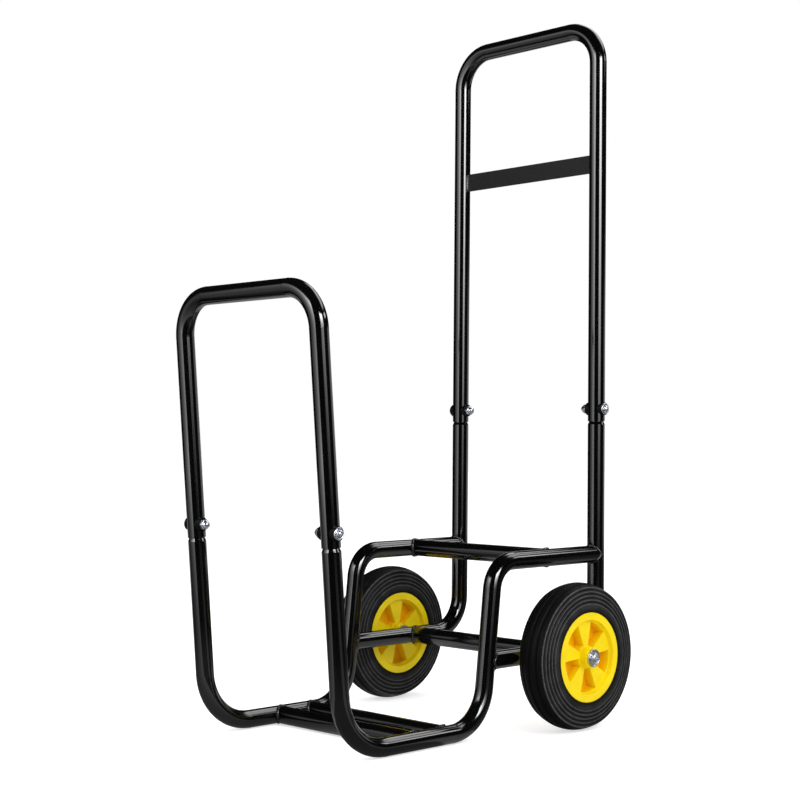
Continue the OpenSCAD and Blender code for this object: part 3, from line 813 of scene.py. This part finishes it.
def tyre_outline():
    """Closed outline of the tyre as (radius, across), with its corners rounded.

    The tread is a parabola cut by grooves with sloping walls, the side wall a parabola that is widest
    at the hub and sunk between its ribs, and the bead follows the hub's seat.
    """
    s = sizes()
    tread_half = s.tread_width / 2
    rib_from, shoulder, pitch = rib_band()
    seat_half = ring_height() - s.seat_inset

    def tread(x):
        return WHEEL_R - s.tread_drop * (x / tread_half) ** 2

    def wall(r):
        fall = TYRE_HALF_W - tread_half - s.shoulder
        return TYRE_HALF_W - fall * ((r - HUB_R) / (shoulder - HUB_R)) ** 2

    groove_pitch = s.tread_width / (s.grooves + 0.6)
    centres = (np.arange(s.grooves) - (s.grooves - 1) / 2) * groove_pitch
    points = []
    for centre in centres:
        for q, dip in GROOVE_PROFILE:
            x = centre + q * s.groove_width
            points.append((tread(x) - dip * s.groove_depth, x))
        if centre != centres[-1]:
            points.append((tread(centre + groove_pitch / 2), centre + groove_pitch / 2))
    land = centres[-1] + s.groove_width / 2
    half = [(tread(x), x) for x in (land + (tread_half - land) * 0.35, land + (tread_half - land) * 0.7)]
    for a in np.radians([90, 60, 30, 0]):
        half.append((shoulder + (tread(tread_half) - shoulder) * math.sin(a),
                     tread_half + (wall(shoulder) - tread_half) * math.cos(a)))
    for k in reversed(range(s.ribs)):
        for q, dip in RIB_PROFILE:
            r = rib_from + (k + q) * pitch
            half.append((r, wall(r) - dip * s.rib_height))
    half += [
        (HUB_R + 4.0 * MM, wall(HUB_R + 4.0 * MM)),
        (HUB_R + 0.8 * MM, wall(HUB_R)),
        (HUB_R + FIT, wall(HUB_R) - 0.8 * MM),
        (HUB_R + FIT, seat_half + s.rim_lip / 2),
        (HUB_R - s.rim_lip + FIT, seat_half - 2 * FIT),
    ]
    mirrored = [(r, -x) for r, x in reversed(half)]
    return rounded_loop(points + half + mirrored, 0.35 * MM)


class LOGCART_OT_tyres(bpy.types.Operator):
    """Mould the two solid tyres"""

    bl_idname = "log_cart.tyres"
    bl_label = "Tyres"

    def execute(self, context):
        outline = tyre_outline()
        for name, side in SIDES.items():
            tyre = mesh_object(f"{name}_ribbed_tyre", ring(outline, side, segments=192))
            dress(tyre, tyre_rubber(name))
            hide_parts(f"{name}_tyre")
            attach(tyre, f"{name}_wheel")
        return {"FINISHED"}


# -------------------- fasteners

def dome(radius, low, high, rows=26):
    """Rows of a domed head as (radius, height), from its edge in to near its middle.

    With x the share of the radius, the height is low + (high - low) * (1 - x^2.8)^0.45.
    """
    x = 1 - 0.97 * np.linspace(0, 1, rows) ** 1.8
    return np.stack([radius * x, low + (high - low) * (1 - x ** 2.8) ** 0.45], axis=-1)


def cross_recess(r, angle, size):
    """Depth of a cross recess: two slots, size long and 0.3 of it wide, with sloping walls."""
    u, v = np.abs(r * np.sin(angle)), np.abs(r * np.cos(angle))
    long, wide = size / 2, size * 0.15
    slot = np.maximum(soft_min(long - v, wide - u, 0.1 * size), soft_min(long - u, wide - v, 0.1 * size))
    return sizes().recess_depth * smooth_step(slot / (0.14 * size) + 0.5)


def screw(spot, side, stem, head, recess):
    """A screw as one closed surface: the rows of its stem and of its head, with a cross recess in it."""
    angle = round_angles(96)
    rows = np.concatenate([stem, head])
    across = rows[:, 1:] + 0 * angle
    across[len(stem):] -= cross_recess(head[:, :1], angle, recess)
    return grid(turned(spot, side, rows[:, :1], across, angle), False, True, capped=True)


def plate(name, grids, node):
    """One zinc plated piece from the grids, in the node's place."""
    piece = mesh_object(name, *grids)
    dress(piece, zinc(f"zinc_{node}"))
    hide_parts(node)
    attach(piece, CART)


def joint_spots():
    """The middles of the front and the rear joint on the side at +X."""
    low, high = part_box("joint_bolts")
    head = sizes().bolt_radius
    return (SIDE_X, low[1] + head, low[2] + head), (SIDE_X, high[1] - head, high[2] - head)


class LOGCART_OT_joint_bolts(bpy.types.Operator):
    """Turn the flanged joint bolts and their cap nuts"""

    bl_idname = "log_cart.joint_bolts"
    bl_label = "Joint bolts and nuts"

    def execute(self, context):
        places = [(spot, side) for spot in joint_spots() for side in SIDES.values()]
        plate("flanged_bolts", [self.bolt(*place) for place in places], "joint_bolts")
        plate("domed_nuts", [self.nut(*place) for place in places], "cap_nuts")
        return {"FINISHED"}

    def bolt(self, spot, side):
        """Shank, washer-like flange, a groove and a domed head with a cross recess."""
        s = sizes()
        seat = TUBE_R + s.saddle
        tip = -seat - s.nut_height
        inner = s.bolt_radius - s.bolt_ring
        stem = profile(s.shank_radius, tip, (-0.4, 0), (0, 0.4))
        stem += profile(s.shank_radius, seat, (0, -0.1), (0.1, 0))
        stem += profile(s.bolt_radius, seat, (-0.4, 0), (-0.1, 0.15), (0, 0.5))
        stem += profile(s.bolt_radius, seat, (0, 1.5), (-0.3, 2.0), (-0.8, 2.2))
        stem += profile(inner, seat, (1.5, 2.1), (1.1, 1.7), (0.9, 0.7), (0.1, 0.6), (0, 0.9))
        head = dome(inner, seat + 2.0 * MM, seat + s.bolt_height)
        return screw(spot, side, stem, head, s.bolt_recess)

    def nut(self, spot, side):
        """A hexagon with chamfered ends, a dome over it and a blind bore.

        A flat's distance grows as 1 / cos(angle from its middle) up to the corner; each row cuts it off
        at its own radius, which makes the chamfers.
        """
        s = sizes()
        flat, tall, bore = s.nut_flat, s.nut_height, s.shank_radius + 0.05 * MM
        local = np.radians([-29.3, -21, -8, 8, 21, 29.3])
        angle = (np.radians(np.arange(6) * 60)[:, None] + local).ravel()[None, :]
        hexagon = flat / np.cos(np.tile(local, 6))[None, :]
        cuts = [
            (bore - 1 * MM, tall + 1.5 * MM), (bore, tall + 1.0 * MM), (bore, 0), (0.93 * flat, 0),
            (1.04 * flat, 0.4 * MM), (2 * flat, 1.1 * MM), (2 * flat, tall - 1.1 * MM),
            (1.04 * flat, tall - 0.4 * MM), (0.95 * flat, tall), (0.90 * flat, tall),
        ]
        cuts += [(0.88 * flat * math.cos(a), tall + 0.88 * flat * math.sin(a))
                 for a in np.linspace(0, math.pi / 2 - 0.05, 14)]
        cuts = np.array(cuts)
        radius = np.minimum(hexagon, cuts[:, :1])
        points = turned(spot, side, radius, -TUBE_R - s.saddle - cuts[:, 1:], angle)
        return grid(points, False, True, capped=True)


class LOGCART_OT_axle_ends(bpy.types.Operator):
    """Turn the cup washers and the bolts at the ends of the axle"""

    bl_idname = "log_cart.axle_ends"
    bl_label = "Axle ends"

    def execute(self, context):
        cups = [ring(self.cup_outline(), side, segments=96) for side in SIDES.values()]
        plate("rolled_washers", cups, "axle_cup_washers")
        plate("axle_cap_bolts", [self.bolt(side) for side in SIDES.values()], "axle_end_bolts")
        return {"FINISHED"}

    def cup_outline(self):
        """A washer with a raised seat, a channel round it and a rolled rim."""
        s = sizes()
        hole = s.end_shank + 0.2 * MM
        rim, roll = s.washer_radius, 0.9 * MM
        seat, channel = s.washer_seat, 0.9 * MM
        outline = [(hole, 0), (hole, seat), (s.end_radius - 0.3 * MM, seat),
                   (s.end_radius + 0.1 * MM, channel), (rim - 2 * roll - 0.2 * MM, channel)]
        outline += [(rim - roll - roll * math.cos(a), seat + roll * math.sin(a))
                    for a in np.linspace(0, math.pi, 9)]
        outline += [(rim, 0.5 * MM), (rim - 0.5 * MM, 0)]
        return rounded_loop([(r, CUP_FACE + x) for r, x in outline], 0.25 * MM)

    def bolt(self, side):
        """Shank and a domed head with a cross recess."""
        s = sizes()
        seat = CUP_FACE + s.washer_seat
        stem = profile(s.end_shank, CUP_FACE - s.end_reach, (-0.4, 0), (0, 0.4))
        stem += profile(s.end_shank, seat, (0, -0.1), (0.1, 0))
        stem += profile(s.end_radius, seat, (-0.3, 0), (-0.05, 0.2))
        head = dome(s.end_radius, seat + 1.2 * MM, seat + s.end_height)
        return screw(WHEEL, side, stem, head, s.end_recess)


class LOGCART_OT_fasteners(bpy.types.Operator):
    """Plate the axle and its inner washers, and finish the moulded washers and spacers"""

    bl_idname = "log_cart.fasteners"
    bl_label = "Axle and moulded washers"

    def execute(self, context):
        dress_nodes(ZINC_NODES, zinc("zinc_plate"))
        dress_nodes(MOULDED_NODES, black_moulding())
        return {"FINISHED"}


# -------------------- stage

def lamp(name, place, target, width, height, power):
    """A soft rectangular lamp at place, facing target. Reflections show the studio's wall instead of it."""
    data = bpy.data.lights.new(name, "AREA")
    data.shape = "RECTANGLE"
    data.size, data.size_y = width, height
    data.energy = power
    obj = bpy.data.objects.new(name, data)
    bpy.context.collection.objects.link(obj)
    obj.location = place
    obj.rotation_euler = (Vector(target) - Vector(place)).to_track_quat("-Z", "Y").to_euler()
    obj.visible_camera = False
    obj.visible_glossy = False


def around(angle, distance, height):
    """A place at distance from the cart's middle, angle to the right of the camera, at that height."""
    a = stage().azimuth + angle
    return distance * np.sin(a), -distance * np.cos(a), height


def window(x, low, high, soft):
    """1 between low and high, 0 outside them, with edges that fade over soft."""
    return smooth_step((x - low) / soft + 0.5) * smooth_step((high - x) / soft + 0.5)


class LOGCART_OT_stage(bpy.types.Operator):
    """Set the camera, the lamps, the floor, the studio's wall and the white world"""

    bl_idname = "log_cart.stage"
    bl_label = "Stage"

    def execute(self, context):
        self.camera()
        self.floor()
        self.world()
        self.wall()
        self.lamps()
        context.scene.view_settings.view_transform = "Standard"
        return {"FINISHED"}

    def camera(self):
        s = stage()
        data = bpy.data.cameras.new("photo_camera")
        data.sensor_width = 36
        data.lens = s.lens
        data.clip_start, data.clip_end = 0.05, 60
        cam = bpy.data.objects.new("photo_camera", data)
        bpy.context.collection.objects.link(cam)
        target = Vector((0, s.target_back, s.target_height))
        place = Vector(around(0, s.camera_reach, s.camera_height)) + Vector((0, s.target_back, 0))
        cam.location = place
        cam.rotation_euler = (target - place).to_track_quat("-Z", "Y").to_euler()
        bpy.context.scene.camera = cam

    def floor(self):
        """A flat matt disc, whose own white, added for the camera alone, hides its far edge."""
        angle = round_angles(96)
        r = np.array([0.001, 1.5, 4.0, 8.0, 14.0])[:, None]
        points = np.stack(np.broadcast_arrays(r * np.sin(angle), r * np.cos(angle), -0.6 * MM), axis=-1)
        obj = mesh_object("floor", grid(points, False, True))
        obj.data.flip_normals()
        n = MaterialTree("white_floor")
        seen = n.add("ShaderNodeLightPath").outputs["Is Camera Ray"]
        dress(obj, n.set(
            Base_Color=(0.88, 0.88, 0.88), Roughness=0.9, Specular_IOR_Level=0.0,
            Emission_Color=(1, 1, 1), Emission_Strength=n.maths("MULTIPLY", seen, stage().floor_glow)))

    def world(self):
        """White to the camera and in reflections, and a plain pale light for everything else."""
        world = bpy.data.worlds.new("white_room")
        bpy.context.scene.world = world
        world.use_nodes = True
        world.node_tree.nodes.clear()
        n = NodeTree(world.node_tree)
        rays = n.add("ShaderNodeLightPath").outputs
        seen = n.maths("MAXIMUM", rays["Is Camera Ray"], rays["Is Glossy Ray"])
        seen = n.maths("MAXIMUM", seen, rays["Is Transmission Ray"])
        light = n.spread(seen, stage().room_light, 1, 0, 1)
        background = n.add("ShaderNodeBackground", {"Color": (1, 1, 1), "Strength": light})
        n.add("ShaderNodeOutputWorld", {"Surface": background.outputs["Background"]})

    def wall(self):
        """A round studio wall with a floor and a roof that only reflections see, dark between soft boxes.

        Their glow depends on the angle to the right of the camera and on the height h. A strip from 23
        to 52 degrees glows as 0.2 + 4.9 h^2 up to 2.15 m. One from -98 to -36 degrees glows as
        2.4 + 1.7 h^2 up to 2.3 m and fades to a tenth at its left edge. From 104 degrees on the right
        side is pale up to 0.9 m, and a small soft box at 91 to 106 degrees lights the tops of the
        rails. A soft box in the roof over the back lights upper edges. The floor is dim. It is lighter
        under the strips, behind the cart on the left, and near the cart, most of all on the right.
        """
        reach, top = 3.0, 3.4
        floor_rows, wall_rows, roof_rows = 24, 40, 8
        right = np.radians(np.linspace(-180, 180, 241))[None, :]
        rise = np.concatenate([np.zeros(floor_rows), np.linspace(0, top, wall_rows), np.full(roof_rows, top)])
        radius = np.concatenate([np.linspace(0.01, reach, floor_rows + 1)[:-1], np.full(wall_rows, reach),
                                 np.linspace(reach, 0.05, roof_rows + 1)[1:]])
        rise, radius = rise[:, None], radius[:, None]
        points = np.stack(np.broadcast_arrays(*around(right, radius, rise - 0.3 * MM)), axis=-1)
        degrees, high, near = np.broadcast_arrays(np.degrees(right), rise, radius)
        strip_right, strip_left = window(degrees, 23, 52, 4), window(degrees, -98, -36, 4)
        strip_left = strip_left * (0.1 + 0.9 * np.clip((degrees + 98) / 62, 0, 1) ** 2)
        glow = np.full(degrees.shape, 0.01)
        glow += (0.2 + 4.9 * np.minimum(high, 1.75) ** 2) * window(high, -1, 2.15, 0.2) * strip_right
        glow += (2.4 + 1.7 * np.minimum(high, 1.9) ** 2) * window(high, -1, 2.3, 0.5) * strip_left
        glow += 0.7 * window(high, -1, 0.9, 0.5) * window(degrees, 104, 190, 8)
        glow += 5.0 * window(high, 1.65, 2.1, 0.2) * window(degrees, 91, 106, 6)
        over = window(degrees, 96, 168, 18)
        glow += 2.5 * over * window(high, 2.5, 3.6, 0.5) * smooth_step((near / reach - 0.45) / 0.25)
        dim = 0.01 + 0.10 * smooth_step((0.95 - near) / 0.5) + 0.5 * window(degrees, -190, -114, 10)
        dim += window(degrees, 84, 190, 12) * (0.06 + 0.20 * smooth_step((0.8 - near) / 0.4))
        dim += (0.3 - 0.1 * near) * strip_right + (0.4 + 0.36 * near ** 2) * strip_left
        glow = np.where(high < 0.001, dim, glow)
        obj = mesh_object("studio_wall", grid(points))
        layer = obj.data.attributes.new("glow", "FLOAT", "POINT")
        layer.data.foreach_set("value", glow.astype(np.float32).ravel())
        n = MaterialTree("studio_wall")
        shade = n.add("ShaderNodeAttribute", attribute_name="glow")
        dress(obj, n.set(
            Base_Color=(0, 0, 0), Roughness=1.0, Specular_IOR_Level=0.0,
            Emission_Color=(1, 1, 1), Emission_Strength=shade.outputs["Fac"]))
        for ray in ("camera", "diffuse", "transmission", "shadow"):
            setattr(obj, f"visible_{ray}", False)

    def lamps(self):
        s = stage()
        aim = (0, 0, 0.45)
        lamp("key", around(math.radians(40), 3.0, 2.3), aim, 2.2, 2.0, s.key_power)
        lamp("fill", around(math.radians(-62), 3.0, 1.8), aim, 2.2, 1.8, s.key_power * 0.35)
        lamp("top", (0.4, 0.5, 3.4), aim, 2.6, 2.6, s.key_power * 0.5)


class LOGCART_PT_panel(bpy.types.Panel):
    """Buttons for each group of pieces, and their sizes and colours"""

    bl_idname = "LOGCART_PT_panel"
    bl_label = "Log cart"
    bl_space_type = "VIEW_3D"
    bl_region_type = "UI"
    bl_category = "Log cart"

    def draw(self, context):
        layout = self.layout
        for group in (sizes(), finish(), stage()):
            box = layout.box()
            for key in group.bl_rna.properties.keys():
                if key not in ("rna_type", "name"):
                    box.prop(group, key)
        for operator in OPERATORS:
            layout.operator(operator.bl_idname)


GROUPS = {
    "log_cart_sizes": LogCartSizes,
    "log_cart_finish": LogCartFinish,
    "log_cart_stage": LogCartStage,
}
OPERATORS = (
    LOGCART_OT_tubes, LOGCART_OT_welds, LOGCART_OT_hubs, LOGCART_OT_tyres,
    LOGCART_OT_joint_bolts, LOGCART_OT_axle_ends, LOGCART_OT_fasteners, LOGCART_OT_stage,
)
CLASSES = (*GROUPS.values(), *OPERATORS, LOGCART_PT_panel)


def register():
    for cls in CLASSES:
        bpy.utils.register_class(cls)
    for key, group in GROUPS.items():
        setattr(bpy.types.Scene, key, PointerProperty(type=group))


def unregister():
    for key in GROUPS:
        delattr(bpy.types.Scene, key)
    for cls in reversed(CLASSES):
        bpy.utils.unregister_class(cls)


def main():
    register()
    for operator in OPERATORS:
        group, action = operator.bl_idname.split(".")
        getattr(getattr(bpy.ops, group), action)()


if __name__ == "__main__":
    main()
